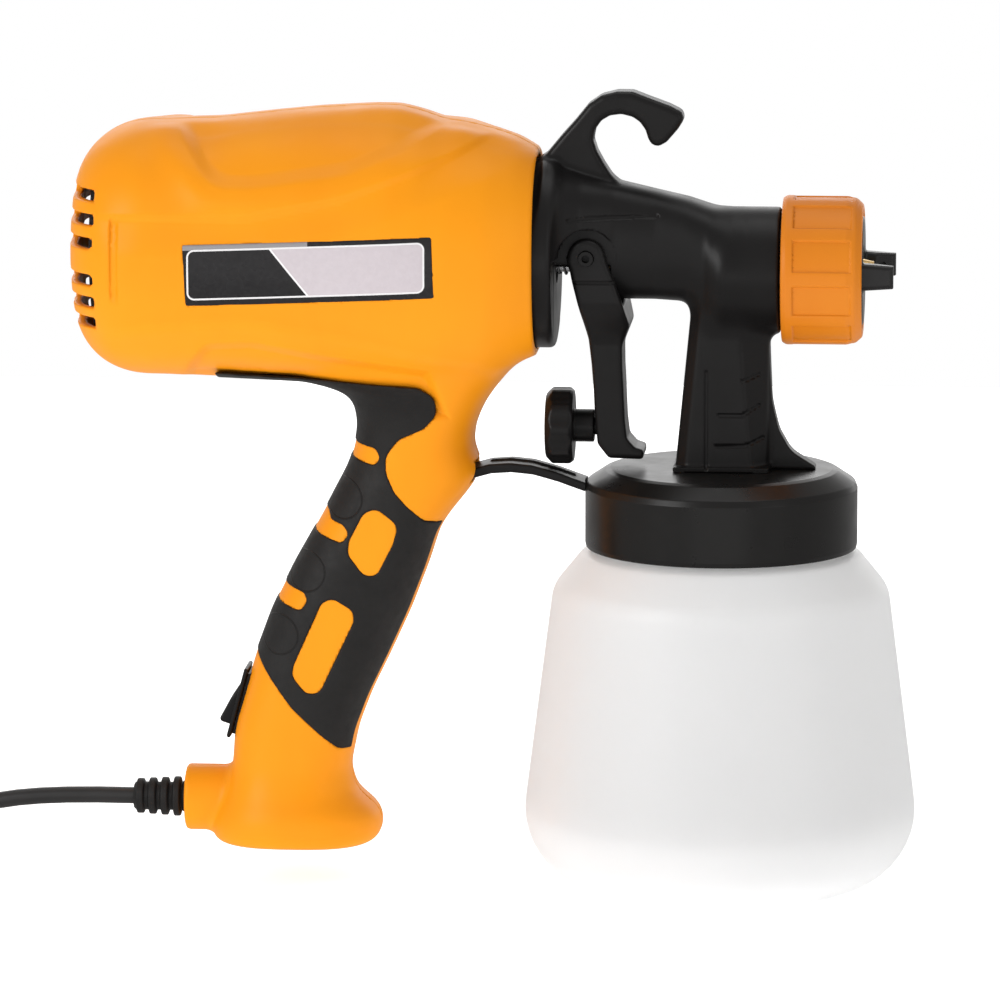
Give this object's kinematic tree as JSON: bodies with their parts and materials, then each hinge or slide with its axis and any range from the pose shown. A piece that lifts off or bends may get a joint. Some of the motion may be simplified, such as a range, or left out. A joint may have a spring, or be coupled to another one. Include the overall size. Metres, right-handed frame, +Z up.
{
  "type": "electric spray gun",
  "caption": "Hand-held electric paint spray gun with a motor casing, soft-grip handle, hook, trigger, nozzle ring and a screw-on paint cup below.",
  "frame": {"origin": "centre of the cup's flat base, where the gun stands", "axes": "+X towards the nozzle, +Y to the far side, +Z up"},
  "size_m": [0.4448, 0.158, 0.2643],
  "materials": {
    "casing_plastic": "satin",
    "grip_rubber": "matt",
    "black_plastic": "satin",
    "cup_plastic": "translucent satin",
    "badge": "gloss",
    "steel": "plain",
    "brass": "plain",
    "copper_winding": "varnished",
    "laminated_steel": "plain",
    "seal_rubber": "matt",
    "white_plastic": "satin",
    "carbon": "matt",
    "foam": "open cell foam",
    "aluminium_casting": "cast",
    "cord_sheath": "satin"
  },
  "bodies": {
    "cup": {"cup_bottle": "cup_plastic"},
    "gun": {"cup_lid": "black_plastic", "lid_gasket": "seal_rubber", "pickup_tube": "white_plastic", "pickup_strainer": "white_plastic", "cup_brace": "black_plastic", "gun_body": "black_plastic", "flange_seal": "seal_rubber", "trigger_pin": "black_plastic", "needle_packing": "white_plastic", "packing_nut": "brass", "needle_spring": "steel", "fluid_nozzle": "brass", "nozzle_seal": "seal_rubber", "casing_near": "casing_plastic", "casing_far": "casing_plastic", "grip_near": "grip_rubber", "grip_far": "grip_rubber", "badge_near": "badge", "badge_far": "badge", "casing_screws": "steel", "rear_bearing": "steel", "front_bearing": "steel", "stator_core": "laminated_steel", "field_windings": "copper_winding", "rear_bracket": "aluminium_casting", "front_bracket": "aluminium_casting", "brush_holders": "brass", "carbon_brushes": "carbon", "mount_rings": "seal_rubber", "fan_shroud": "black_plastic", "intake_filter": "foam", "strain_relief": "grip_rubber", "cord_inside": "cord_sheath", "cord_clamp": "black_plastic", "clamp_screws": "steel", "switch_frame": "black_plastic", "capacitor": "white_plastic", "power_leads": "cord_sheath", "motor_leads": "cord_sheath", "cord_tube": "cord_sheath", "cord_coil": "cord_sheath", "cord_tail": "cord_sheath", "plug_body": "cord_sheath", "plug_pins": "brass"},
    "trigger": {"trigger": "black_plastic"},
    "knob": {"flow_knob": "black_plastic"},
    "needle": {"needle": "steel", "needle_collar": "brass"},
    "air_cap": {"air_cap": "black_plastic"},
    "nozzle_nut": {"nozzle_nut": "casing_plastic"},
    "rotor": {"motor_shaft": "steel", "armature_core": "laminated_steel", "armature_windings": "copper_winding", "commutator": "brass", "fan_impeller": "black_plastic"},
    "rocker": {"switch_rocker": "black_plastic"}
  },
  "joints": [
    {"name": "trigger_pull", "type": "hinge", "parent": "gun", "child": "trigger", "pos_m": [-0.0437, 0, 0.2109], "axis": [0, 1, 0], "range_deg": [0, 12], "stiffness_Nm_per_rad": 0.8, "springref_deg": -5.73},
    {"name": "needle_slide", "type": "slide", "parent": "gun", "child": "needle", "axis": [-1, 0, 0], "range_m": [0, 0.00112], "deforming": ["needle_spring"]},
    {"name": "knob_turn", "type": "hinge", "parent": "trigger", "child": "knob", "pos_m": [-0.053, 0, 0.1532], "axis": [1, 0, 0], "range_deg": [-720, 720]},
    {"name": "nut_unscrew", "type": "hinge", "parent": "gun", "child": "nozzle_nut", "pos_m": [0.034, 0, 0.2056], "axis": [1, 0, 0], "range_deg": [0, 900]},
    {"name": "air_cap_turn", "type": "hinge", "parent": "gun", "child": "air_cap", "pos_m": [0.04, 0, 0.2056], "axis": [1, 0, 0], "range_deg": [-90, 90]},
    {"name": "cup_unscrew", "type": "hinge", "parent": "gun", "child": "cup", "pos_m": [0, 0, 0], "axis": [0, 0, -1], "range_deg": [0, 450]},
    {"name": "switch_rock", "type": "hinge", "parent": "gun", "child": "rocker", "pos_m": [-0.15747, 0, 0.05908], "axis": [0, 1, 0], "range_deg": [-14, 0]},
    {"name": "rotor_spin", "type": "hinge", "parent": "gun", "child": "rotor", "pos_m": [-0.146, 0, 0.212], "axis": [1, 0, 0], "continuous": true}
  ],
  "couplings": [
    {"joint": "needle_slide", "follows": "trigger_pull", "m_per_rad": 0.0053}
  ]
}
